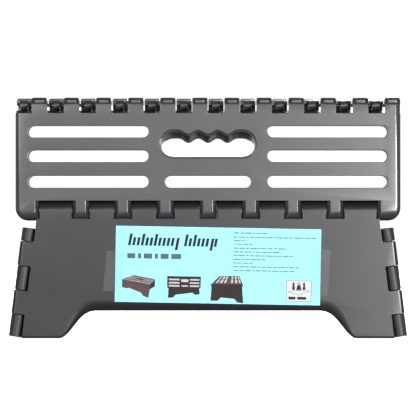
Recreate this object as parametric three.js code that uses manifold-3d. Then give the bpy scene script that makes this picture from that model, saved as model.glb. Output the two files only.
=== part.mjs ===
// Folding step stool in moulded plastic, folded flat and standing on its feet.
//
// Two half tops meet at a centre hinge of interleaved fingers. Each half top is hinged to a leg
// panel along its outer edge, and each end is closed by two half panels hinged to the legs and to
// each other. Lifting the centre hinge folds everything flat; pressing it down opens the stool.
//
// Frame, millimetres: +X along the stool, -Y the front, +Z up. The origin is on the floor, midway
// along the stool, on the plane between its front and rear halves.

import * as THREE from 'three';
import { mergeVertices } from 'three/addons/utils/BufferGeometryUtils.js';
import Module from 'manifold-3d';

const wasm = await Module();
wasm.setup();

// ---------------------------------------------------------------- driving dimensions

const FOOT_LENGTH = 380;
const TOP_LENGTH = 366;
const OPEN_WIDTH = 220;
const OPEN_HEIGHT = 130;
const HALF_DEPTH = 19.5; // mid plane to the outer face of a folded half
const SIDE_LEAN = THREE.MathUtils.degToRad(7.25); // the ends lean in towards the top
const SKIN = 2.8;
const MID_GAP = 0.6; // each half stays this far from the mid plane
const PIN_GAP = 0.3;

const BARREL_R = 9.2; // knuckles between top and leg
const HINGE_Y = -(HALF_DEPTH - BARREL_R);
const HINGE_Z = OPEN_HEIGHT - BARREL_R;
const SPAN = OPEN_WIDTH / 2 - BARREL_R; // between the two hinge axes of a half top
const CENTRE_Z = HINGE_Z + SPAN;

// Leg knuckles: inner and outer end of each, on one side of the middle.
const LEG_KNUCKLES = [[8.9, 31.6], [49.4, 72], [89.6, 112], [129.6, 159.8]];
const KNUCKLE_GAP = 0.9;
const NOTCH_R = BARREL_R + 0.5;
const NOTCH_BACK = 5; // the notch's rear wall starts this far above the hinge axis
const NOTCH_CHAMFER = 3.4; // along the front edges of the tabs between the knuckles
const BOSS_R = 8.6; // thrust bosses on both sides of each knuckle
const BOSS_GAP = 0.15;
const PIN_R = 2;

// Centre hinge: fingers of the front and rear halves alternate.
const FINGER_COUNT = 24;
const FINGER_PITCH = TOP_LENGTH / FINGER_COUNT;
const FINGER_WIDTH = 14.7;
const FINGER_CORNER_R = 1.8;
const FINGER_REACH = 7.2; // above the axis when folded
const FINGER_INNER_REACH = 4.4; // the same next to the mid plane
const FINGER_BEVEL = 7.2; // how far the bevel of the nose runs back from the face
const POCKET_DEPTH = 7.8; // below the axis when folded
const POCKET_INNER_DEPTH = 4.8;
const FINGER_WEB = { foot: 5.4, top: 9.6 };
const FINGER_LOBE_R = 4.6;
const CENTRE_PIN_R = 1.5;
const CENTRE_PIN_FINGERS = 6; // fingers held by a pin at each end of the row

const SLOT_HEIGHT = 11.4;
const SLOT_ROWS = [196.4, 173.1, 148.7];
const SLOT_INNER_X = 56.4;
const SLOT_OUTER_X = 171.6;
const MIDDLE_SLOT_X = 41.2;
const SLOT_COLLAR = 1.8;
const SLOT_COLLAR_Y = -7;

const GRIP = { halfWidth: 44.9, bottom: 172.2, top: 196.8, drop: 7.4, scallop: 4.3, pitch: 18.6 };
const GRIP_WALL = 2.4;
const TOP_CORNER_R = 12;
const TOP_EDGE_R = 5; // rounding of a half top's outer edges
const RIM = 2.4;

// Leg panel.
const LEG_TOP_Z = 113.4;
const LEG_TOP_RIM = 5;
const LEG_RIBS = [-60, -20, 20, 60]; // X of the upright ribs behind the panel
const EDGE_R = 6.4; // knuckles between leg and end
const EDGE_INSET = 6.5; // their axis, measured in from the leg's side edge
const EDGE_STRIP = 13; // width of the hinged strip along the side edge
const EDGE_TOP = 105.4; // strip height along the leaning axis
const EDGE_LEG_KNUCKLES = [[23.4, 45.7], [69.4, 92.3]];
const EDGE_END_KNUCKLES = [[1.5, 22.8], [46.3, 68.8], [92.9, 105.3]];
const EDGE_PIN_R = 1.6;
const LEG_RIM_Y = -12.7; // how deep the rims reach where an end panel lies behind the leg

// Arch: foot's inner end, the S-shaped shoulder and the flat crown.
const ARCH_FOOT_X = 141;
const ARCH_CROWN_X = 107;
const ARCH_HEIGHT = 26;
const ARCH_ROLL = 11;
const FOOT_ROLL = 2.2;
const ROLL_DEPTH = 6;

// End half panels.
const END_FACE_Y = -2.1; // outer face, next to the mid plane when folded
const END_SKIN = 2.5;
const END_RIB_Y = -12;
const END_RIB = 2.2;
const END_CLEAR = 1.5; // how far the panel stays above the leg's arch when folded
const END_INNER = 5.2; // free space round the knuckles of the mid hinge
const MID_R = 4.4;
const MID_KNUCKLES = 7;
const MID_BOTTOM = 46;
const MID_PIN_R = 1.4;

// Card and tape on the front leg.
const CARD = { x: 9.5, z: 69.1, width: 194.8, height: 72.2, tilt: THREE.MathUtils.degToRad(-1.05) };
const SHEET_GAP = 0.15;
const CARD_THICKNESS = 0.3;
const TAPE_THICKNESS = 0.15;
const TAPES = {
  tape_left: { outer: -97.9, inner: -81.1, bottom: 44.8, top: 83, edge: -88.4, lean: 3.6 },
  tape_right: { outer: 115, inner: 99, bottom: 40.4, top: 84.1, edge: 107.4, lean: 2.5 },
};

// ---------------------------------------------------------------- solids

const ARC_STEPS = 8;
const CYLINDER_SIDES = 16;
const PIN_SIDES = 10;
const OVER = 1; // how far a cutter runs past what it cuts

function solid(geometry) {
  const bare = geometry.clone();
  bare.deleteAttribute('normal');
  bare.deleteAttribute('uv');
  const merged = mergeVertices(bare, 1e-4);
  const mesh = new wasm.Mesh({
    numProp: 3,
    vertProperties: new Float32Array(merged.attributes.position.array),
    triVerts: new Uint32Array(merged.index.array),
  });
  return new wasm.Manifold(mesh);
}

function geometryOf(body) {
  const mesh = body.getMesh();
  const geometry = new THREE.BufferGeometry();
  geometry.setAttribute('position', new THREE.BufferAttribute(mesh.vertProperties, 3));
  geometry.setIndex(new THREE.BufferAttribute(mesh.triVerts, 1));
  geometry.computeVertexNormals();
  return geometry;
}

const join = (bodies) => bodies.reduce((all, body) => all.add(body));
const cut = (body, cutters) => cutters.reduce((rest, cutter) => rest.subtract(cutter), body);

function box(x0, x1, y0, y1, z0, z1) {
  const geometry = new THREE.BoxGeometry(x1 - x0, y1 - y0, z1 - z0);
  return solid(geometry.translate((x0 + x1) / 2, (y0 + y1) / 2, (z0 + z1) / 2));
}

// A profile of [y, z] points, extruded along X.
function prismX(points, x0, x1) {
  const shape = new THREE.Shape(points.map(([y, z]) => new THREE.Vector2(y, z)));
  const geometry = new THREE.ExtrudeGeometry(shape, { depth: x1 - x0, bevelEnabled: false });
  const axes = new THREE.Matrix4().makeBasis(
    new THREE.Vector3(0, 1, 0),
    new THREE.Vector3(0, 0, 1),
    new THREE.Vector3(1, 0, 0),
  );
  return solid(geometry.applyMatrix4(axes).translate(x0, 0, 0));
}

// An outline of [x, z] points with optional holes, extruded along Y.
function prismY(points, y0, y1, holes = []) {
  const shape = new THREE.Shape(points.map(([x, z]) => new THREE.Vector2(x, z)));
  for (const hole of holes) shape.holes.push(new THREE.Path(hole.map(([x, z]) => new THREE.Vector2(x, z))));
  const geometry = new THREE.ExtrudeGeometry(shape, { depth: y1 - y0, bevelEnabled: false });
  return solid(geometry.rotateX(Math.PI / 2).translate(0, y1, 0));
}

// A profile of [x, y] points, extruded along Z.
function prismZ(points, z0, z1) {
  const shape = new THREE.Shape(points.map(([x, y]) => new THREE.Vector2(x, y)));
  const geometry = new THREE.ExtrudeGeometry(shape, { depth: z1 - z0, bevelEnabled: false });
  return solid(geometry.translate(0, 0, z0));
}

function cylinderX(y, z, radius, x0, x1, sides = CYLINDER_SIDES) {
  const geometry = new THREE.CylinderGeometry(radius, radius, x1 - x0, sides).rotateZ(Math.PI / 2);
  return solid(geometry.translate((x0 + x1) / 2, y, z));
}

function cylinderZ(x, y, radius, z0, z1, sides = CYLINDER_SIDES) {
  const geometry = new THREE.CylinderGeometry(radius, radius, z1 - z0, sides).rotateX(Math.PI / 2);
  return solid(geometry.translate(x, y, (z0 + z1) / 2));
}

// A closed skin through sections of [x, y, z] points, from front to back. They run anticlockwise
// seen from the front and have the same number of points.
function loftY(sections) {
  const count = sections[0].length;
  const positions = sections.flat(2);
  const index = [];
  for (let s = 0; s < sections.length - 1; s += 1) {
    for (let i = 0; i < count; i += 1) {
      const next = (i + 1) % count;
      const [a, b] = [s * count + i, s * count + next];
      index.push(a, a + count, b, b, a + count, b + count);
    }
  }
  const flat = (section) => section.map(([x, , z]) => new THREE.Vector2(x, z));
  const cap = (section) => THREE.ShapeUtils.triangulateShape(flat(section), []);
  const last = (sections.length - 1) * count;
  for (const [a, b, c] of cap(sections[0])) index.push(a, b, c);
  for (const [a, b, c] of cap(sections.at(-1))) index.push(last + a, last + c, last + b);
  const geometry = new THREE.BufferGeometry();
  geometry.setAttribute('position', new THREE.Float32BufferAttribute(positions, 3));
  geometry.setIndex(index);
  return solid(geometry);
}

// Points on an elliptical arc, angles in degrees from +x towards +y.
function arc(cx, cy, rx, ry, from, to, steps = ARC_STEPS) {
  return Array.from({ length: steps + 1 }, (_, i) => {
    const angle = THREE.MathUtils.degToRad(from + ((to - from) * i) / steps);
    return [cx + rx * Math.cos(angle), cy + ry * Math.sin(angle)];
  });
}

function stadium(x0, x1, z, height) {
  const r = height / 2;
  return [...arc(x0 + r, z, r, r, 90, 270), ...arc(x1 - r, z, r, r, -90, 90)];
}

const mirrored = (spans) => [...spans.map(([a, b]) => [-b, -a]), ...spans];

// ---------------------------------------------------------------- half top

const slots = [
  ...SLOT_ROWS.flatMap((z) => [[-SLOT_OUTER_X, -SLOT_INNER_X, z], [SLOT_INNER_X, SLOT_OUTER_X, z]]),
  [-MIDDLE_SLOT_X, MIDDLE_SLOT_X, SLOT_ROWS.at(-1)],
];

// The grip hole: a stadium whose upper edge has three bumps between four finger hollows. grow
// widens it all round and drop lowers its upper edge.
function gripOutline(grow, drop) {
  const halfWidth = GRIP.halfWidth + grow;
  const bottom = GRIP.bottom - grow;
  const top = GRIP.top - drop + grow;
  const r = (top - bottom) / 2;
  const endX = halfWidth - (GRIP.top - GRIP.bottom) / 2;
  const middle = (top + bottom) / 2;
  const bump = (x) => {
    const offset = Math.min(...[-1, 0, 1].map((i) => Math.abs(x - i * GRIP.pitch)));
    if (offset >= GRIP.pitch / 2) return 0;
    return (GRIP.scallop / 2) * (1 + Math.cos((2 * Math.PI * offset) / GRIP.pitch));
  };
  const steps = 24;
  const scallops = Array.from({ length: steps - 1 }, (_, i) => {
    const x = endX - (2 * endX * (i + 1)) / steps;
    return [x, top - bump(x)];
  });
  const endR = halfWidth - endX;
  return [...arc(endX, middle, endR, r, -90, 90), ...scallops, ...arc(-endX, middle, endR, r, 90, 270)];
}

function gripLoft(grow, front, back) {
  const section = (y, drop) => gripOutline(grow, drop).map(([x, z]) => [x, y, z]);
  return loftY([
    section(front, 0),
    section(-HALF_DEPTH, 0),
    section(-HALF_DEPTH / 2, GRIP.drop * 0.62),
    section(back, GRIP.drop),
  ]);
}

// One finger of the centre hinge: a rounded nose, the skin below it and a web with the pivot lobe.
function finger(x, bored) {
  const [left, right] = [x - FINGER_WIDTH / 2, x + FINGER_WIDTH / 2];
  const top = CENTRE_Z + FINGER_REACH;
  const foot = CENTRE_Z - POCKET_DEPTH - OVER;
  const bevelBack = -HALF_DEPTH + FINGER_BEVEL;
  const nose = [
    [-MID_GAP, CENTRE_Z],
    [-MID_GAP, CENTRE_Z + FINGER_INNER_REACH],
    [bevelBack, top],
    [bevelBack - 2, top - 0.9],
    [-HALF_DEPTH + 1, CENTRE_Z + 1.8],
    [-HALF_DEPTH, CENTRE_Z + 0.2],
    [-HALF_DEPTH, foot],
    [-HALF_DEPTH + SKIN, foot],
    [-HALF_DEPTH + SKIN, CENTRE_Z],
  ];
  const web = [
    [-HALF_DEPTH + SKIN / 2, CENTRE_Z + FINGER_LOBE_R],
    ...arc(0, CENTRE_Z, FINGER_LOBE_R, FINGER_LOBE_R, 80, -90, 6),
    [-MID_GAP - RIM, foot],
    [-HALF_DEPTH + SKIN / 2, foot],
  ];
  const body = join([
    prismX(nose, left, right),
    prismX(web.reverse(), left, right).intersect(prismY([
      [x - FINGER_WEB.foot / 2, foot],
      [x + FINGER_WEB.foot / 2, foot],
      [x + FINGER_WEB.top / 2, top],
      [x - FINGER_WEB.top / 2, top],
    ], -HALF_DEPTH, FINGER_LOBE_R + OVER)),
  ]).intersect(prismY([
    [left, foot],
    [right, foot],
    ...arc(right - FINGER_CORNER_R, top - FINGER_CORNER_R, FINGER_CORNER_R, FINGER_CORNER_R, 0, 90, 3),
    ...arc(left + FINGER_CORNER_R, top - FINGER_CORNER_R, FINGER_CORNER_R, FINGER_CORNER_R, 90, 180, 3),
  ], -HALF_DEPTH - OVER, FINGER_LOBE_R + OVER));
  if (!bored) return body;
  const bore = cylinderX(0, CENTRE_Z, CENTRE_PIN_R + PIN_GAP, left - OVER, right + OVER, PIN_SIDES);
  return body.subtract(bore);
}

// The front half top. Its own fingers are every second place; the rear half's lie between them.
function halfTop() {
  const half = TOP_LENGTH / 2;
  const shoulder = CENTRE_Z - POCKET_DEPTH;
  const cornerX = half - TOP_CORNER_R;
  const bottom = HINGE_Z - BARREL_R;
  const outlineAt = (inset, top) => {
    const r = TOP_CORNER_R - inset;
    return [
      [half - inset, top],
      [-half + inset, top],
      ...arc(-cornerX, bottom + TOP_CORNER_R, r, r, 180, 270, 6),
      ...arc(cornerX, bottom + TOP_CORNER_R, r, r, 270, 360, 6),
    ];
  };
  const outline = outlineAt(0, shoulder);
  const floor = HINGE_Z + NOTCH_R;
  const inside = [
    [half - RIM, shoulder - RIM],
    [-half + RIM, shoulder - RIM],
    [-half + RIM, floor + RIM],
    [half - RIM, floor + RIM],
  ];

  const holes = slots.map(([x0, x1, z]) => stadium(x0, x1, z, SLOT_HEIGHT));
  const skin = prismY(outline, -HALF_DEPTH, -HALF_DEPTH + SKIN, holes);
  const rim = prismY(outline, -HALF_DEPTH, -MID_GAP, [inside]);
  const collars = slots.map(([x0, x1, z], i) => prismY(
    stadium(x0 - SLOT_COLLAR, x1 + SLOT_COLLAR, z, SLOT_HEIGHT + 2 * SLOT_COLLAR),
    -HALF_DEPTH + SKIN / 2,
    SLOT_COLLAR_Y,
    [holes[i]],
  ));
  const ribs = [-1, 1].map((side) => {
    const x = side * (SLOT_INNER_X - 2 * SLOT_COLLAR);
    return box(x - RIM / 2, x + RIM / 2, -HALF_DEPTH + SKIN / 2, -MID_GAP - RIM, floor, shoulder - RIM / 2);
  });

  const notches = mirrored(LEG_KNUCKLES).map(([x0, x1]) => [x0 - KNUCKLE_GAP, x1 + KNUCKLE_GAP]);
  const below = bottom - 2 * BARREL_R;
  const notchCutters = notches.flatMap(([x0, x1]) => [
    box(x0, x1, -HALF_DEPTH - OVER, HINGE_Y, below, floor),
    cylinderX(HINGE_Y, HINGE_Z, NOTCH_R, x0, x1),
    box(x0, x1, HINGE_Y - OVER, OVER, below, HINGE_Z + NOTCH_BACK),
  ]);
  const chamferCutters = notches.flatMap(([x0, x1]) => [[x0, -1], [x1, 1]]).map(([x, side]) => {
    const [face, back] = [-HALF_DEPTH - OVER, -HALF_DEPTH + NOTCH_CHAMFER];
    const wedge = [
      [x - side * OVER, face],
      [x + side * (NOTCH_CHAMFER + OVER), face],
      [x - side * OVER, back + OVER],
    ];
    return prismZ(side > 0 ? wedge : wedge.reverse(), below, floor);
  });
  // Tabs between the knuckles: the face runs down to a barrel round the hinge axis.
  const tabProfile = [
    [-HALF_DEPTH, floor],
    ...arc(HINGE_Y, HINGE_Z, BARREL_R, BARREL_R, 180, 360, 10),
    [-MID_GAP - RIM, floor],
  ];
  const tabEdges = [-cornerX, ...notches.flat(), cornerX];
  const tabs = [];
  for (let i = 0; i < tabEdges.length; i += 2) tabs.push(prismX(tabProfile, tabEdges[i], tabEdges[i + 1]));

  const fingers = [];
  for (let place = 1; place < FINGER_COUNT; place += 2) {
    const x = -half + (place + 0.5) * FINGER_PITCH;
    const atEnd = place < CENTRE_PIN_FINGERS || place >= FINGER_COUNT - CENTRE_PIN_FINGERS;
    fingers.push(finger(x, atEnd));
  }

  const face = skin.subtract(gripLoft(GRIP_WALL / 2, -HALF_DEPTH - OVER, OVER));
  // The floor of the pockets between the fingers rises towards the mid plane.
  const pocketFloor = prismX([
    [-HALF_DEPTH + FINGER_BEVEL, shoulder - RIM],
    [-MID_GAP, shoulder - RIM],
    [-MID_GAP, CENTRE_Z - POCKET_INNER_DEPTH],
    [-HALF_DEPTH + FINGER_BEVEL, shoulder],
  ], -half, half);
  const hollow = join([face, rim, pocketFloor, ...collars, ...ribs]);
  const shell = join([hollow.add(gripLoft(GRIP_WALL, -HALF_DEPTH + SKIN / 2, -MID_GAP)), ...tabs]);
  const pinBore = cylinderX(HINGE_Y, HINGE_Z, PIN_R + PIN_GAP, -half, half, PIN_SIDES);
  const gripCutter = gripLoft(0, -HALF_DEPTH - OVER, OVER);
  const open = cut(shell, [gripCutter, ...notchCutters, ...chamferCutters, pinBore]);

  // Everything stays inside a skin with rounded front edges at the sides and below.
  const section = (y, inset) => outlineAt(inset, CENTRE_Z + FINGER_REACH + OVER).map(([x, z]) => [x, y, z]);
  const sections = [0, 30, 60, 90].map((degrees) => {
    const a = THREE.MathUtils.degToRad(degrees);
    return section(-HALF_DEPTH + TOP_EDGE_R * (1 - Math.cos(a)), TOP_EDGE_R * (1 - Math.sin(a)));
  });
  const rounded = loftY([...sections, section(FINGER_LOBE_R + OVER, 0)]);
  const tabRoom = prismX(tabProfile, -half, half);
  const aboveTabs = box(-half, half, -HALF_DEPTH, FINGER_LOBE_R + OVER, HINGE_Z, CENTRE_Z + FINGER_REACH);
  return join([open, ...fingers]).intersect(rounded).intersect(aboveTabs.add(tabRoom));
}

// ---------------------------------------------------------------- leg panel

const lean = { sin: Math.sin(SIDE_LEAN), cos: Math.cos(SIDE_LEAN) };
const EDGE_AXIS_X = FOOT_LENGTH / 2 - EDGE_INSET / lean.cos; // the side hinge's axis at the floor

// Places on the right side in the leaning frame of its hinge: inward from the axis, and along it.
function fromEdge(inward, along) {
  return [EDGE_AXIS_X - inward * lean.cos - along * lean.sin, along * lean.cos - inward * lean.sin];
}

function toEdge(x, z) {
  const dx = EDGE_AXIS_X - x;
  return [dx * lean.cos - z * lean.sin, dx * lean.sin + z * lean.cos];
}

// Lower contour of a leg from its left foot over the arch to its right foot, each point with the
// direction into the material.
function lowerContour() {
  const shoulder = new THREE.CubicBezierCurve(
    new THREE.Vector2(ARCH_FOOT_X, 0),
    new THREE.Vector2(ARCH_FOOT_X - 10, 0),
    new THREE.Vector2(ARCH_CROWN_X + 17, ARCH_HEIGHT),
    new THREE.Vector2(ARCH_CROWN_X, ARCH_HEIGHT),
  );
  const steps = 10;
  const right = [{ x: FOOT_LENGTH / 2 + OVER, z: 0, nx: 0, nz: 1 }];
  for (let i = 0; i <= steps; i += 1) {
    const point = shoulder.getPoint(i / steps);
    const along = shoulder.getTangent(i / steps);
    right.push({ x: point.x, z: point.y, nx: along.y, nz: -along.x });
  }
  const left = right.map(({ x, z, nx, nz }) => ({ x: -x, z, nx: -nx, nz })).reverse();
  return [...left, ...right.reverse()].sort((a, b) => a.x - b.x);
}

// The contour moved into the material: by the foot's edge radius at the feet and by the arch's
// larger one over the crown, times share.
function rolledContour(share, extra = 0) {
  return lowerContour().map(({ x, z, nx, nz }) => {
    const roll = rollAt(z, ARCH_ROLL) * share + extra;
    return [x + nx * roll, z + nz * roll];
  });
}

const rollAt = (z, crown) => THREE.MathUtils.lerp(FOOT_ROLL, crown, z / ARCH_HEIGHT);

// What is cut away below a leg panel, with the rolled lower edge of its face.
function undersideCutter() {
  const below = -20;
  const reach = FOOT_LENGTH / 2 + 2 * OVER;
  const section = (share, yAt) => [
    [-reach, yAt(0), below],
    [reach, yAt(0), below],
    ...rolledContour(share).map(([x, z], i) => [x, yAt(lowerContour()[i].z), z]).reverse(),
  ];
  const rollSteps = 4;
  const sections = [section(1, () => -HALF_DEPTH - OVER)];
  for (let i = 0; i <= rollSteps; i += 1) {
    const angle = (Math.PI / 2) * (i / rollSteps);
    const yAt = (z) => -HALF_DEPTH + rollAt(z, ROLL_DEPTH) * (1 - Math.cos(angle));
    sections.push(section(1 - Math.sin(angle), yAt));
  }
  sections.push(section(0, () => 2 * OVER));
  return loftY(sections);
}

function legPanel() {
  // Outline: knuckles of the side hinge stand out to the edge, and pockets between them are set in.
  const strip = EDGE_STRIP - EDGE_INSET;
  const steps = [];
  for (const [from, to] of EDGE_LEG_KNUCKLES) {
    steps.push([strip, from], [-EDGE_INSET, from], [-EDGE_INSET, to], [strip, to]);
  }
  const edge = [[strip, -OVER], ...steps, [strip, EDGE_TOP + OVER]].map(([u, v]) => fromEdge(u, v));
  const shoulderX = edge.at(-1)[0];
  const rightSide = [...edge, [shoulderX - 0.6, LEG_TOP_Z]];
  const leftSide = rightSide.map(([x, z]) => [-x, z]).reverse();
  const outline = [...rightSide, ...leftSide];
  const plate = prismY(outline, -HALF_DEPTH, -HALF_DEPTH + SKIN);

  // Rims behind the plate: along the top, down the sides and round the feet and the arch.
  const rimSide = [fromEdge(strip, -OVER), fromEdge(strip, EDGE_TOP), [shoulderX - 0.6, LEG_TOP_Z]];
  const rimOutline = [...rimSide, ...rimSide.map(([x, z]) => [-x, z]).reverse()];
  const inner = [fromEdge(strip + RIM, EDGE_TOP), [shoulderX - 0.6 - RIM, LEG_TOP_Z - LEG_TOP_RIM]];
  const innerLower = rolledContour(0, ARCH_ROLL + SKIN)
    .filter(([x]) => Math.abs(x) < EDGE_AXIS_X - EDGE_STRIP);
  const foot = fromEdge(strip + RIM, ARCH_ROLL + SKIN);
  const innerOutline = [
    foot, ...inner, ...inner.map(([x, z]) => [-x, z]).reverse(), [-foot[0], foot[1]], ...innerLower,
  ];
  const rim = prismY(rimOutline, -HALF_DEPTH + SKIN / 2, LEG_RIM_Y, [innerOutline]);
  const ribs = LEG_RIBS.map((x) => box(
    x - RIM / 2,
    x + RIM / 2,
    -HALF_DEPTH + SKIN / 2,
    LEG_RIM_Y + 5,
    ARCH_HEIGHT + ARCH_ROLL,
    LEG_TOP_Z - LEG_TOP_RIM / 2,
  ));

  // Barrels towards the half top, each on a neck that tapers to the plate.
  const neckBottom = LEG_TOP_Z - 6;
  const bossStep = KNUCKLE_GAP - BOSS_GAP;
  const barrels = mirrored(LEG_KNUCKLES).flatMap(([x0, x1]) => [
    prismX([
      [-HALF_DEPTH, neckBottom],
      [-HALF_DEPTH + SKIN, neckBottom],
      ...arc(HINGE_Y, HINGE_Z, BARREL_R, BARREL_R, -30, 180, 12),
    ], x0, x1),
    cylinderX(HINGE_Y, HINGE_Z, BOSS_R, x0 - bossStep, x1 + bossStep),
  ]);

  // Knuckles towards the end panels, in the leaning frame.
  const edgeKnuckles = EDGE_LEG_KNUCKLES.map(([from, to]) => join([
    cylinderZ(0, HINGE_Y, EDGE_R, from, to),
    prismZ([
      ...arc(-EDGE_INSET + 4, -HALF_DEPTH + 4, 4, 4, 180, 270, 4),
      [strip + RIM, -HALF_DEPTH],
      [strip + RIM, LEG_RIM_Y],
      [EDGE_R, LEG_RIM_Y],
      [EDGE_R - 1, HINGE_Y],
      [-EDGE_R, HINGE_Y],
    ], from, to),
  ]));
  const edgeBore = cylinderZ(0, HINGE_Y, EDGE_PIN_R + PIN_GAP, -OVER, EDGE_TOP + OVER, PIN_SIDES);
  const bored = cut(join(edgeKnuckles), [edgeBore]);
  const sides = [-1, 1].map((side) => solid(leaning(geometryOf(bored), side)));

  // The plate is cut back round the corner of each knuckle so that only its rounded edge shows.
  const cornerCutters = [-1, 1].flatMap((side) => EDGE_LEG_KNUCKLES.map(([from, to]) => (
    solid(leaning(geometryOf(prismZ([
      [-EDGE_INSET - OVER, -HALF_DEPTH - OVER],
      [-EDGE_INSET + 4, -HALF_DEPTH - OVER],
      [-EDGE_INSET + 4, OVER],
      [-EDGE_INSET - OVER, OVER],
    ], from - OVER, to + OVER)), side))
  )));

  const bore = cylinderX(HINGE_Y, HINGE_Z, PIN_R + PIN_GAP, -FOOT_LENGTH / 2, FOOT_LENGTH / 2, PIN_SIDES);
  const cradle = cylinderX(HINGE_Y, HINGE_Z, NOTCH_R, -FOOT_LENGTH / 2, FOOT_LENGTH / 2);
  const tray = cut(join([plate, rim, ...ribs]), [undersideCutter(), cradle, ...cornerCutters]);
  return cut(join([tray, ...barrels]), [bore]).add(sides[0]).add(sides[1]);
}

// Moves a shape from the side hinge's leaning frame (x inward, z along the axis) to the stool's.
function leaning(geometry, side) {
  const inward = new THREE.Vector3(-side * lean.cos, 0, -lean.sin);
  const along = new THREE.Vector3(-side * lean.sin, 0, lean.cos);
  const matrix = new THREE.Matrix4().makeBasis(inward, new THREE.Vector3(0, 1, 0), along);
  matrix.setPosition(side * EDGE_AXIS_X, 0, 0);
  const placed = geometry.clone().applyMatrix4(matrix);
  if (matrix.determinant() > 0) return placed;
  const flipped = Array.from(placed.index.array);
  for (let i = 0; i < flipped.length; i += 3) [flipped[i], flipped[i + 1]] = [flipped[i + 1], flipped[i]];
  return placed.setIndex(flipped);
}

// ---------------------------------------------------------------- end half panel

// A front end half in the leaning frame. It lies behind the leg with its outer face towards the
// mid plane. Its mid-hinge knuckles are the odd or the even places.
function endPanel(firstKnuckle) {
  const midStep = (EDGE_TOP - MID_BOTTOM) / MID_KNUCKLES;
  const isOwn = (place) => place % 2 === firstKnuckle;
  const innerEdge = SPAN - END_INNER;

  // Lower edge: the leg's contour, kept a little above it.
  const lower = rolledContour(0, END_CLEAR)
    .map(([x, z]) => toEdge(x, z))
    .filter(([u]) => u > EDGE_STRIP && u < innerEdge - END_RIB)
    .sort((a, b) => a[0] - b[0]);
  const crownAlong = (u) => (ARCH_HEIGHT + END_CLEAR + u * lean.sin) / lean.cos;
  const footAlong = (u) => (END_CLEAR + u * lean.sin) / lean.cos;
  const start = EDGE_R + 0.8;
  const outline = [
    [start, footAlong(start)],
    ...lower,
    [innerEdge, crownAlong(innerEdge)],
    [innerEdge, EDGE_TOP],
    [start, EDGE_TOP],
  ];
  const raised = ([u, v]) => [u, v + 2.6];
  const window = [
    [start + END_RIB, footAlong(start + END_RIB) + END_RIB],
    ...lower.map(raised),
    [innerEdge - END_RIB, crownAlong(innerEdge - END_RIB) + END_RIB],
    [innerEdge - END_RIB, EDGE_TOP - END_RIB],
    [start + END_RIB, EDGE_TOP - END_RIB],
  ];
  const inner = END_FACE_Y - END_SKIN;
  const plate = prismY(outline, inner, END_FACE_Y);
  const rim = prismY(outline, END_RIB_Y, END_FACE_Y - END_SKIN / 2, [window]);

  const hinge = EDGE_END_KNUCKLES.map(([from, to]) => join([
    cylinderZ(0, HINGE_Y, EDGE_R, from, to),
    prismZ([
      [-EDGE_R + 2, END_FACE_Y],
      [-EDGE_R + 0.4, HINGE_Y + 4],
      [-EDGE_R + 0.4, HINGE_Y],
      [EDGE_R - 0.4, HINGE_Y],
      [start + END_RIB / 2, HINGE_Y],
      [start + END_RIB / 2, END_FACE_Y],
    ], Math.max(from, footAlong(start)), to),
  ]));
  const mid = [];
  for (let place = 0; place < MID_KNUCKLES; place += 1) {
    if (isOwn(place)) {
      const from = MID_BOTTOM + place * midStep + 0.3;
      const to = MID_BOTTOM + (place + 1) * midStep - 0.3;
      mid.push(cylinderZ(SPAN, 0, MID_R, from, to, 12));
      mid.push(prismZ([
        [innerEdge - END_RIB / 2, END_FACE_Y],
        [innerEdge - END_RIB / 2, inner],
        [SPAN, -MID_R],
        [SPAN, END_FACE_Y],
      ], from, to));
    }
  }
  const edgeBore = cylinderZ(0, HINGE_Y, EDGE_PIN_R + PIN_GAP, 4, EDGE_TOP + OVER, PIN_SIDES);
  const midBore = cylinderZ(SPAN, 0, MID_PIN_R + PIN_GAP, MID_BOTTOM - OVER, EDGE_TOP + OVER, PIN_SIDES);
  return cut(join([plate, rim, ...hinge, ...mid]), [edgeBore, midBore]);
}

// ---------------------------------------------------------------- pins, card and tape

function pinX(radius, length) {
  return new THREE.CylinderGeometry(radius, radius, length, PIN_SIDES).rotateZ(Math.PI / 2);
}

function edgePin(radius, inward, y, from, to, side) {
  const geometry = new THREE.CylinderGeometry(radius, radius, to - from, PIN_SIDES).rotateX(Math.PI / 2);
  return leaning(geometry.translate(inward, y, (from + to) / 2), side);
}

// Tape follows the card's face, steps down over its edge and sticks to the leg. Its ends lean.
function tapeStrip({ outer, inner, bottom, top, edge, lean }) {
  const low = -HALF_DEPTH - SHEET_GAP;
  const high = low - CARD_THICKNESS - SHEET_GAP;
  const side = Math.sign(outer);
  const foot = edge + side * 1.6;
  const clear = edge + side * 0.5;
  const reach = side * (lean / 2 + OVER);
  const path = [
    [outer + reach, low],
    [foot, low],
    [clear, high],
    [inner - reach, high],
    [inner - reach, high - TAPE_THICKNESS],
    [clear + side * 0.1, high - TAPE_THICKNESS],
    [foot + side * 0.1, low - TAPE_THICKNESS],
    [outer + reach, low - TAPE_THICKNESS],
  ];
  const strip = prismZ(side > 0 ? path : path.reverse(), bottom, top);
  const [left, right] = side > 0 ? [inner, outer] : [outer, inner];
  const ends = prismY([
    [left - lean / 2, bottom],
    [right - lean / 2, bottom],
    [right + lean / 2, top],
    [left + lean / 2, top],
  ], low - OVER, low + OVER);
  return geometryOf(strip.intersect(ends));
}

// ---------------------------------------------------------------- assembly

const plastic = { color: 0x56565a, roughness: 0.5, metalness: 0 };
const nylon = { color: 0x2b2b2e, roughness: 0.45, metalness: 0 };
const stool = new THREE.Group();

function place(name, geometry, finish, parent) {
  const mesh = new THREE.Mesh(geometry, new THREE.MeshStandardMaterial(finish));
  mesh.name = name;
  parent.add(mesh);
  return mesh;
}

const frontHalf = new THREE.Group();
const rearHalf = new THREE.Group();
rearHalf.rotation.z = Math.PI;
stool.add(frontHalf, rearHalf);

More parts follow.
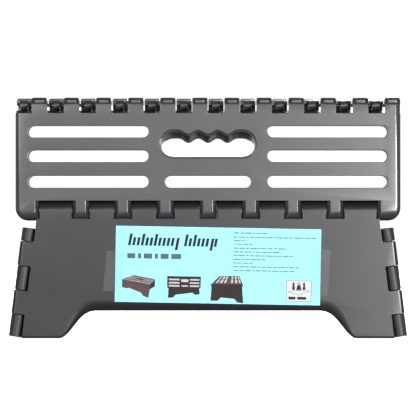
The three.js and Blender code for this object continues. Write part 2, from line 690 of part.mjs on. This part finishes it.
// Front and rear use the same mouldings, the rear ones turned half round.
const topGeometry = geometryOf(halfTop());
const legGeometry = geometryOf(legPanel());
const endGeometries = [0, 1].map((firstKnuckle) => geometryOf(endPanel(firstKnuckle)));
const halves = [['front', frontHalf, { left: -1, right: 1 }], ['rear', rearHalf, { left: 1, right: -1 }]];
for (const [name, group, sides] of halves) {
  place(`top_${name}`, topGeometry, plastic, group);
  place(`leg_${name}`, legGeometry, plastic, group);
  for (const [sideName, side] of Object.entries(sides)) {
    place(`end_${sideName}_${name}`, leaning(endGeometries[side > 0 ? 1 : 0], side), plastic, group);
    const pin = edgePin(EDGE_PIN_R, 0, HINGE_Y, 4.3, EDGE_TOP - 0.5, side);
    place(`pin_leg_${name}_${sideName}`, pin, nylon, group);
  }
  const topPin = place(`pin_top_${name}`, pinX(PIN_R, TOP_LENGTH - 2 * TOP_CORNER_R - 0.6), nylon, group);
  topPin.position.set(0, HINGE_Y, HINGE_Z);
}

const centrePinLength = CENTRE_PIN_FINGERS * FINGER_PITCH - 0.5 * FINGER_PITCH;
for (const [name, side] of [['left', -1], ['right', 1]]) {
  const pin = place(`pin_centre_${name}`, pinX(CENTRE_PIN_R, centrePinLength), nylon, stool);
  pin.position.set(side * (TOP_LENGTH / 2 - (CENTRE_PIN_FINGERS * FINGER_PITCH) / 2), 0, CENTRE_Z);
  place(`pin_end_${name}`, edgePin(MID_PIN_R, SPAN, 0, MID_BOTTOM + 0.6, EDGE_TOP - 0.5, side), nylon, stool);
}

const paper = { color: 0xc8fbfe, roughness: 0.6, metalness: 0 };
const sheet = new THREE.BoxGeometry(CARD.width, CARD_THICKNESS, CARD.height);
const card = place('label_card', sheet, paper, frontHalf);
card.position.set(CARD.x, -HALF_DEPTH - SHEET_GAP - CARD_THICKNESS / 2, CARD.z);
card.rotation.y = -CARD.tilt;
for (const [name, strip] of Object.entries(TAPES)) {
  place(name, tapeStrip(strip), { color: 0x8e8e92, roughness: 0.35, metalness: 0 }, frontHalf);
}

export default stool;
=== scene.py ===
"""Looks for the folding step stool: moulded plastic, printed card, tape, floor, light and camera."""

import math

import bpy
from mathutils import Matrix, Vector


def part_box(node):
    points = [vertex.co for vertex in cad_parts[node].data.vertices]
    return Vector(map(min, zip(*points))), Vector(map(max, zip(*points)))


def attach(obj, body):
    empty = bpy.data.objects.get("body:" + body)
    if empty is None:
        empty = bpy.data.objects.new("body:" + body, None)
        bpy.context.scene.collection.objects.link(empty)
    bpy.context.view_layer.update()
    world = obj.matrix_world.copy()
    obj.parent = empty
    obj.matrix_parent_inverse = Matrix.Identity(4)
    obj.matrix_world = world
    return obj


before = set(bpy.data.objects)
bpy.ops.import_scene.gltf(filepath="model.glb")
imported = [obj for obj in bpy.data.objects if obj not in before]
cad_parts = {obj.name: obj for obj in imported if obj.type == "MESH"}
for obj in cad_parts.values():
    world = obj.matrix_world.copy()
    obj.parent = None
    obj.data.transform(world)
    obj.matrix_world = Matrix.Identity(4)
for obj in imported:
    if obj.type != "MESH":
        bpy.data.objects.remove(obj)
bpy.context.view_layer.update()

MM = 0.001

# ------------------------------------------------------------------ materials


def new_material(name):
    material = bpy.data.materials.new(name)
    material.use_nodes = True
    nodes, links = material.node_tree.nodes, material.node_tree.links
    return material, nodes, links, nodes["Principled BSDF"]


def object_place(nodes):
    return nodes.new("ShaderNodeTexCoord").outputs["Object"]


def noise(nodes, links, vector, scale, detail):
    texture = nodes.new("ShaderNodeTexNoise")
    texture.inputs["Scale"].default_value = scale
    texture.inputs["Detail"].default_value = detail
    links.new(vector, texture.inputs["Vector"])
    return texture.outputs["Fac"]


def ramp(nodes, links, source, *stops):
    """A colour ramp on source between two stops, each (position, (r, g, b))."""
    made = nodes.new("ShaderNodeValToRGB")
    for element, (position, colour) in zip(made.color_ramp.elements, stops):
        element.position = position
        element.color = (*colour, 1)
    links.new(source, made.inputs["Fac"])
    return made.outputs["Color"]


def add_bumps(nodes, links, height, strength, distance):
    bump = nodes.new("ShaderNodeBump")
    bump.inputs["Strength"].default_value = strength
    bump.inputs["Distance"].default_value = distance
    links.new(height, bump.inputs["Height"])
    links.new(bump.outputs["Normal"], nodes["Principled BSDF"].inputs["Normal"])


def moulded_plastic(name, dark, light, roughness, specular=0.32, grain=0.12):
    """Plastic from a spark-eroded mould: fine grain, faint flow mottling and an uneven sheen."""
    material, nodes, links, shader = new_material(name)
    place = object_place(nodes)
    mottling = noise(nodes, links, place, scale=9.0, detail=3.0)
    links.new(ramp(nodes, links, mottling, (0.3, dark), (0.7, light)), shader.inputs["Base Color"])
    patches = noise(nodes, links, place, scale=22.0, detail=4.0)
    sheen = nodes.new("ShaderNodeMapRange")
    sheen.inputs["To Min"].default_value, sheen.inputs["To Max"].default_value = roughness
    links.new(patches, sheen.inputs["Value"])
    links.new(sheen.outputs["Result"], shader.inputs["Roughness"])
    add_bumps(nodes, links, noise(nodes, links, place, scale=2600.0, detail=1.0), grain, 0.06 * MM)
    shader.inputs["Specular IOR Level"].default_value = specular
    return material


def printed(name, colour, variation):
    """Ink or coated stock, mottled by a share of its own colour."""
    material, nodes, links, shader = new_material(name)
    mottling = noise(nodes, links, object_place(nodes), scale=140.0, detail=3.0)
    low = tuple(c * (1 - variation) for c in colour)
    high = tuple(min(1, c * (1 + variation)) for c in colour)
    links.new(ramp(nodes, links, mottling, (0.35, low), (0.65, high)), shader.inputs["Base Color"])
    shader.inputs["Roughness"].default_value = 0.7
    shader.inputs["Specular IOR Level"].default_value = 0.2
    return material


def clear_tape(name, dark, light):
    """Thin tape: mostly see-through, with streaks along its height."""
    material, nodes, links, shader = new_material(name)
    stretch = nodes.new("ShaderNodeMapping")
    stretch.inputs["Scale"].default_value = (4.0, 1.0, 0.4)
    links.new(object_place(nodes), stretch.inputs["Vector"])
    streaks = noise(nodes, links, stretch.outputs["Vector"], scale=160.0, detail=3.0)
    links.new(ramp(nodes, links, streaks, (0.3, dark), (0.7, light)), shader.inputs["Base Color"])
    add_bumps(nodes, links, streaks, 0.25, 0.1 * MM)
    shader.inputs["Roughness"].default_value = 0.28
    shader.inputs["Alpha"].default_value = 0.07
    return material


CHARCOAL_TOP = moulded_plastic(
    "charcoal_plastic", (0.0145, 0.0145, 0.017), (0.019, 0.019, 0.0225), (0.27, 0.33), specular=0.56
)
# The legs' copy of the plastic is darker than the top's: painted shade, not a different plastic.
CHARCOAL_LEG_PAINTED_SHADE = moulded_plastic(
    "charcoal_plastic_leg_painted_shade", (0.0065, 0.0065, 0.0078), (0.0095, 0.0095, 0.011), (0.29, 0.36), specular=0.36
)
# The ends' copy is darker than the top's, which is painted shade. It is also rougher, to soften their
# highlight.
CHARCOAL_END_PAINTED_SHADE = moulded_plastic(
    "charcoal_plastic_end_painted_shade", (0.0085, 0.0085, 0.0095), (0.0115, 0.0115, 0.0125), (0.46, 0.54)
)
NYLON = moulded_plastic("pin_nylon", (0.01, 0.01, 0.011), (0.016, 0.016, 0.017), (0.3, 0.42), grain=0.04)
CARD = printed("card_stock", (0.185, 0.44, 0.5), 0.02)
INK = printed("ink_dark", (0.008, 0.006, 0.012), 0.1)
INK_GREY = printed("ink_grey", (0.042, 0.07, 0.075), 0.12)
INK_SOFT = printed("ink_soft", (0.09, 0.135, 0.135), 0.1)
BROWN = printed("ink_brown", (0.012, 0.007, 0.007), 0.15)
BROWN_MID = printed("ink_brown_mid", (0.045, 0.027, 0.027), 0.12)
BROWN_LIGHT = printed("ink_brown_light", (0.13, 0.1, 0.1), 0.1)
SLOT_WHITE = printed("ink_slot_white", (0.27, 0.27, 0.265), 0.03)
PAPER = printed("ink_white", (0.34, 0.34, 0.34), 0.02)
TAPE = clear_tape("tape_clear", (0.19, 0.21, 0.22), (0.25, 0.27, 0.28))

# ------------------------------------------------------------------ the CAD pieces

# By the start of a node's name: its material, and how far its edges are rounded, in mm. The legs'
# edges are rounded less, so that their corners stay clear of the half tops in the opened stool.
FINISHES = {
    "top_": (CHARCOAL_TOP, 0.4),
    "leg_": (CHARCOAL_LEG_PAINTED_SHADE, 0.25),
    "end_": (CHARCOAL_END_PAINTED_SHADE, 0.4),
    "pin_": (NYLON, 0.2),
    "label_card": (CARD, 0.08),
}
SHARP = math.radians(34)  # an edge is rounded where the surface turns by more than this


def dress(name, material):
    """Gives a CAD node its material."""
    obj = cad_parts[name]
    obj.data.materials.clear()
    obj.data.materials.append(material)
    return obj


def round_edges(obj, width):
    """Soft moulded edges, and smooth shading on round walls."""
    obj.data.polygons.foreach_set("use_smooth", [True] * len(obj.data.polygons))
    weld = obj.modifiers.new("weld", "WELD")
    weld.merge_threshold = 0.01 * MM
    bevel = obj.modifiers.new("edges", "BEVEL")
    bevel.width = width
    bevel.segments = 2
    bevel.limit_method = "ANGLE"
    bevel.angle_limit = SHARP
    bevel.use_clamp_overlap = False
    bevel.harden_normals = False
    normals = obj.modifiers.new("normals", "WEIGHTED_NORMAL")
    normals.mode = "FACE_AREA"
    normals.weight = 80
    normals.keep_sharp = True


for beginning, (finish, edge) in FINISHES.items():
    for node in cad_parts:
        if node.startswith(beginning):
            round_edges(dress(node, finish), edge * MM)
for node in ("tape_left", "tape_right"):
    dress(node, TAPE)

# ------------------------------------------------------------------ shapes printed on the card

# A place on the card is (u, v): mm from its left edge and mm below its top edge.
CARD_WIDTH, CARD_HEIGHT = 194.8, 72.2
CARD_TILT = math.radians(-1.05)
INK_THICKNESS = 0.03
INK_GAP = 0.004  # from the card to the lowest ink

card_low, card_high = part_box("label_card")
CARD_CENTRE = (card_low + card_high) / 2
CARD_FRONT = card_low.y


def on_card(u, v):
    """The (x, z) place, in metres, of a place on the card."""
    across = (u - CARD_WIDTH / 2) * MM
    up = (CARD_HEIGHT / 2 - v) * MM
    x = across * math.cos(CARD_TILT) - up * math.sin(CARD_TILT)
    z = across * math.sin(CARD_TILT) + up * math.cos(CARD_TILT)
    return CARD_CENTRE.x + x, CARD_CENTRE.z + z


def plates(name, outlines, material, layer=1):
    """A piece made of thin plates, one for each outline [(u, v), ...]. Layer 2 lies on layer 1."""
    back = CARD_FRONT - (INK_GAP + (layer - 1) * INK_THICKNESS) * MM
    front = back - INK_THICKNESS * MM
    vertices, faces = [], []
    for outline in outlines:
        area = sum(a[0] * b[1] - b[0] * a[1] for a, b in zip(outline, outline[1:] + outline[:1]))
        points = [on_card(u, v) for u, v in (outline if area < 0 else outline[::-1])]
        start, count = len(vertices), len(points)
        vertices += [(x, front, z) for x, z in points] + [(x, back, z) for x, z in points]
        faces.append([start + i for i in range(count)])
        faces.append([start + count + i for i in reversed(range(count))])
        for i in range(count):
            j = (i + 1) % count
            faces.append([start + j, start + i, start + count + i, start + count + j])
    mesh = bpy.data.meshes.new(name)
    mesh.from_pydata(vertices, [], faces)
    mesh.materials.append(material)
    obj = bpy.data.objects.new(name, mesh)
    bpy.context.scene.collection.objects.link(obj)
    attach(obj, "front_leg")


def bar(u0, v0, u1, v1, slant=0.0):
    """A bar whose upper edge is shifted right by slant mm."""
    return [(u0 + slant, v0), (u1 + slant, v0), (u1, v1), (u0, v1)]


def disc(u, v, radius, steps=8):
    angles = [2 * math.pi * i / steps for i in range(steps)]
    return [(u + radius * math.cos(a), v + radius * math.sin(a)) for a in angles]


def ring(u, v, radius, thickness, steps=14):
    """A circle's line, as quadrilaterals inside the radius."""
    inner = radius - thickness
    pieces = []
    for i in range(steps):
        a, b = (2 * math.pi * (i + k) / steps for k in (0, 1))
        corners = ((a, radius), (b, radius), (b, inner), (a, inner))
        pieces.append([(u + r * math.cos(angle), v + r * math.sin(angle)) for angle, r in corners])
    return pieces


def lines_round(corners, half_width):
    """The sides of a polygon, as thin quadrilaterals."""
    sides = []
    for (a, b), (c, d) in zip(corners, corners[1:] + corners[:1]):
        length = math.hypot(c - a, d - b)
        nu, nv = half_width * (b - d) / length, half_width * (c - a) / length
        sides.append([(a - nu, b - nv), (c - nu, d - nv), (c + nu, d + nv), (a + nu, b + nv)])
    return sides


def shifted(u, v, points):
    return [(u + across, v + down) for across, down in points]


def along(start, end, share):
    return tuple(a + (b - a) * share for a, b in zip(start, end))


def slats(corners, spans, rows):
    """Slots in a step drawn as a quadrilateral: spans along its length, rows across its depth."""
    near_left, near_right, far_right, far_left = corners
    quads = []
    for row0, row1 in rows:
        for span0, span1 in spans:
            quad = []
            for row, span in ((row0, span0), (row0, span1), (row1, span1), (row1, span0)):
                near = along(near_left, near_right, span)
                far = along(far_left, far_right, span)
                quad.append(along(near, far, row))
            quads.append(quad)
    return quads


# ------------------------------------------------------------------ the print: lines that spell nothing

# The strokes of the heading, by where each starts and ends below the card's top.
TALL = (7.2, 18.4)
MIDDLE = (10.6, 18.4)
DROPPED = (10.6, 22.2)
HEADING = (
    (11.5, (TALL, MIDDLE, MIDDLE, TALL, MIDDLE, MIDDLE, TALL, MIDDLE, MIDDLE, MIDDLE, MIDDLE, DROPPED)),
    (64.6, (TALL, MIDDLE, TALL, MIDDLE, MIDDLE, MIDDLE, DROPPED, MIDDLE)),
)
STROKE_WIDTH = 2.6
STROKE_SPACING = 4.05
STROKE_LEAN = 0.18  # to the right, as a share of the height

# Lines of small print: how far below the top each lies and where it ends.
SMALL_LINES = (
    (4.2, 145), (8.2, 190), (11.4, 124), (14.9, 131), (18.7, 163), (22.2, 156),
    (25.7, 169), (29.3, 142), (32.8, 132), (36.3, 174), (39.9, 171),
)
SMALL_START = 112.0
SMALL_HEIGHT = 1.15
SMALL_WORDS = (5.2, 3.4, 6.6, 2.4, 4.4)
SHORTEST_WORD = 1
WORD_GAP = 0.9
RUN_ON_LINE = 2  # goes on from the line before it, so it has no bullet
BULLET_PLACE = 108.6
BULLET_DROP = 0.55
BULLET_RADIUS = 0.5


def heading():
    """Two bold words stood for by slanted strokes."""
    strokes = []
    for start, word in HEADING:
        for i, (top, foot) in enumerate(word):
            u = start + STROKE_SPACING * i
            strokes.append(bar(u, top, u + STROKE_WIDTH, foot, STROKE_LEAN * (foot - top)))
    return strokes


def words(u, v, height, widths, gap):
    """A line of print without letters: one bar a word, from u onwards, with its top at v."""
    bars = []
    for width in widths:
        bars.append(bar(u, v, u + width, v + height))
        u += width + gap
    return bars


def small_print():
    """Bulleted lines without letters."""
    marks = []
    for i, (v, end) in enumerate(SMALL_LINES):
        if i != RUN_ON_LINE:
            marks.append(disc(BULLET_PLACE, v + BULLET_DROP, BULLET_RADIUS))
        u, step = SMALL_START, 0
        while u < end - SHORTEST_WORD:
            width = min(SMALL_WORDS[(i + step) % len(SMALL_WORDS)], end - u)
            marks.append(bar(u, v, u + width, v + SMALL_HEIGHT))
            u += width + WORD_GAP
            step += 1
    return marks


plates("print_heading", heading(), INK)
plates("print_size_line", words(11.2, 25.8, 4.9, (7.6, 3.0, 8.0, 3.0, 7.6, 9.4), 2.5), INK_GREY)
plates("print_small", small_print(), INK_SOFT)

# ------------------------------------------------------------------ the print: three pictures of the stool


def opened_picture(u, v):
    """Opened, seen from a corner: its step, a long side and an end."""
    step = shifted(u, v, [(0.4, 4.2), (26.8, 8.4), (31.4, 3.8), (11.2, 0.2)])
    light.append(step)
    spans = ((0.04, 0.26), (0.3, 0.48), (0.54, 0.7), (0.74, 0.96))
    mid.extend(slats(step, spans, ((0.14, 0.24), (0.78, 0.88))))
    dark.extend(slats(step, ((0.34, 0.62),), ((0.4, 0.6),)))
    mid.append(shifted(u, v, [
        (0, 4.3), (26.6, 8.6), (26.8, 12.2), (24.8, 21.6), (20.4, 20.2),
        (18.2, 17), (6.6, 12.6), (4.2, 13.2), (0, 11.8),
    ]))
    dark.append(shifted(u, v, [
        (26.8, 8.6), (31.4, 4), (31.2, 10.8), (28.6, 12.4),
        (26.6, 13.6), (25.2, 21.8), (24.6, 21.6), (26.4, 12.4),
    ]))


def folded_picture(u, v):
    """Folded, seen from the front: three rows of slots, the grip hole and the legs."""
    dark.append(shifted(u, v, [
        (0.2, 0), (32.2, 0), (32, 11), (30.8, 11), (31.4, 16.8), (26.8, 17.4),
        (24.6, 15.4), (8.4, 17.6), (6.2, 20.2), (1.2, 20.8), (1.6, 11.4), (0.4, 11),
    ]))
    for row in (2.4, 5.5, 8.4):
        white.append(bar(u + 1.8, v + row, u + 12, v + row + 1.5))
        white.append(bar(u + 21.8, v + row, u + 30.8, v + row + 1.5))
    white.append(bar(u + 13.6, v + 2.8, u + 20.4, v + 5.4))
    white.append(bar(u + 14, v + 8.5, u + 20, v + 9.8))
    mid.append(bar(u + 0.6, v + 0.7, u + 31.8, v + 1.3))


def end_picture(u, v):
    """Opened, seen from an end: its step with two rows of slots, the step's edge and the end."""
    step = shifted(u, v, [(0, 8.4), (30, 8), (26.6, 0), (8, 0.2)])
    mid.append(step)
    rows = ((0.16, 0.56), (0.62, 0.94))
    white.extend(slats(step, ((0.1, 0.17), (0.24, 0.32), (0.38, 0.45)), rows))
    white.extend(slats(step, ((0.62, 0.69), (0.76, 0.84), (0.9, 0.96)), rows))
    dark.append(shifted(u, v, [(-0.6, 8.4), (30.2, 8), (30.2, 10), (0, 10.4)]))
    dark.append(shifted(u, v, [
        (0.4, 10.4), (29.4, 10), (30.8, 25.8), (25, 25.2),
        (22, 21.8), (9.4, 20.8), (6.4, 23.8), (-0.4, 24),
    ]))


# The pictures' outlines, by the ink that prints them.
dark, mid, light, white = [], [], [], []
opened_picture(6.6, 46.2)
folded_picture(49.2, 46.9)
end_picture(91.2, 45.6)
plates("print_views_light", light, BROWN_LIGHT)
plates("print_views_mid", mid, BROWN_MID, 2)
plates("print_views_dark", dark, BROWN, 3)
plates("print_views_white", white, SLOT_WHITE, 4)

# ------------------------------------------------------------------ the print: the load pictogram

LOAD_PLATE = [(164.4, 59.8), (174.4, 57.4), (184.6, 58.6), (174.6, 62.6)]


def load_marks():
    """Two arrows pressing down beside a weight with a ring, and two bars that stand for words."""
    marks = []
    for u in (169.4, 179.4):
        marks.append(bar(u - 0.9, 51.0, u + 0.9, 55.6))
        marks.append([(u - 2.0, 55.6), (u + 2.0, 55.6), (u, 58.6)])
    marks.append([(173.0, 53.6), (175.8, 53.6), (177.0, 58.4), (171.8, 58.4)])
    marks += ring(174.4, 52.4, 1.5, 0.6)
    marks += words(164.8, 64.4, 2.6, (6.6, 8.6), 1.6)
    return marks


plates("print_load_edge", [bar(162.4, 48.9, 186.4, 69.0)], INK_SOFT)
plates("print_load_field", [bar(162.9, 49.4, 185.9, 68.5)], PAPER, 2)
plates("print_load", load_marks(), INK, 3)
plates("print_load_plate", lines_round(LOAD_PLATE, half_width=0.22), INK_SOFT, 4)

# ------------------------------------------------------------------ floor, light and camera

# By axis: the share of a direction along it where the studio starts to dim, where it is dimmest, and
# the brightness left there.
WORLD_FADES = {"Z": (0.1, 0.5, 0.22), "X": (0.5, 0.95, 0.45)}
WORLD_STRENGTH = 1.15
# By name: an area light's place and its width and height, in metres, and its power in watts.
LIGHTS = {
    "key": ((0.95, -2.2, 0.16), (0.5, 0.4), 100),
    "front": ((-1.2, -2.6, 0.8), (1.4, 0.6), 70),
    "back": ((1.0, 2.8, 1.6), (1.4, 1.4), 150),
}
LIT_POINT = (0, 0, 0.12)

CAMERA_AIM = Vector((0.0, 0.0, 0.1237))
CAMERA_DISTANCE = 3.0
SENSOR_WIDTH = 36
PIXEL_SIZE = 0.955 * MM  # in the plane of the stool
VIEW_WIDTH = 416 * PIXEL_SIZE


def pale_floor():
    """A pale floor that neither lights the stool nor shows in its sheen."""
    mesh = bpy.data.meshes.new("floor")
    mesh.from_pydata([(-6, -4, 0), (6, -4, 0), (6, 8, 0), (-6, 8, 0)], [], [[0, 1, 2, 3]])
    floor = bpy.data.objects.new("floor", mesh)
    bpy.context.scene.collection.objects.link(floor)
    material, _, _, shader = new_material("pale_floor")
    shader.inputs["Base Color"].default_value = (0.93, 0.93, 0.93, 1)
    shader.inputs["Roughness"].default_value = 0.9
    shader.inputs["Emission Color"].default_value = (1, 1, 1, 1)
    shader.inputs["Emission Strength"].default_value = 0.8
    mesh.materials.append(material)
    floor.visible_diffuse = False
    floor.visible_glossy = False


def fade(nodes, links, direction, start, end, dim):
    """1 where the direction's share is below start, falling to dim at end."""
    size = nodes.new("ShaderNodeMath")
    size.operation = "ABSOLUTE"
    links.new(direction, size.inputs[0])
    share = nodes.new("ShaderNodeMapRange")
    share.interpolation_type = "SMOOTHSTEP"
    for socket, value in (("From Min", start), ("From Max", end), ("To Min", 1.0), ("To Max", dim)):
        share.inputs[socket].default_value = value
    links.new(size.outputs[0], share.inputs["Value"])
    return share.outputs["Result"]


def studio_world():
    """White front and back walls, and dimmer sides, ceiling and ground, so edges that turn away go dark."""
    world = bpy.data.worlds.new("studio")
    bpy.context.scene.world = world
    world.use_nodes = True
    nodes, links = world.node_tree.nodes, world.node_tree.links
    direction = nodes.new("ShaderNodeSeparateXYZ")
    links.new(nodes.new("ShaderNodeTexCoord").outputs["Generated"], direction.inputs["Vector"])
    faded = nodes.new("ShaderNodeMath")
    faded.operation = "MULTIPLY"
    for i, (axis, facts) in enumerate(WORLD_FADES.items()):
        links.new(fade(nodes, links, direction.outputs[axis], *facts), faded.inputs[i])
    strength = nodes.new("ShaderNodeMath")
    strength.operation = "MULTIPLY"
    strength.inputs[1].default_value = WORLD_STRENGTH
    links.new(faded.outputs[0], strength.inputs[0])
    links.new(strength.outputs[0], nodes["Background"].inputs["Strength"])
    nodes["Background"].inputs["Color"].default_value = (1, 1, 1, 1)


def place_facing(obj, location, target):
    """Puts a light or the camera into the scene at location, facing target."""
    obj.location = location
    obj.rotation_euler = (Vector(target) - Vector(location)).to_track_quat("-Z", "Y").to_euler()
    bpy.context.scene.collection.objects.link(obj)


def area_light(name, location, size, power):
    light_data = bpy.data.lights.new(name, "AREA")
    light_data.shape = "RECTANGLE"
    light_data.size, light_data.size_y = size
    light_data.energy = power
    place_facing(bpy.data.objects.new(name, light_data), location, LIT_POINT)


def front_camera():
    """A camera squarely in front of the stool."""
    camera_data = bpy.data.cameras.new("camera")
    camera_data.sensor_width = SENSOR_WIDTH
    camera_data.lens = SENSOR_WIDTH * CAMERA_DISTANCE / VIEW_WIDTH
    camera = bpy.data.objects.new("camera", camera_data)
    place_facing(camera, CAMERA_AIM + Vector((0, -CAMERA_DISTANCE, 0)), CAMERA_AIM)
    bpy.context.scene.camera = camera


pale_floor()
studio_world()
for light_name, light_facts in LIGHTS.items():
    area_light(light_name, *light_facts)
bpy.context.scene.view_settings.view_transform = "Standard"
front_camera()
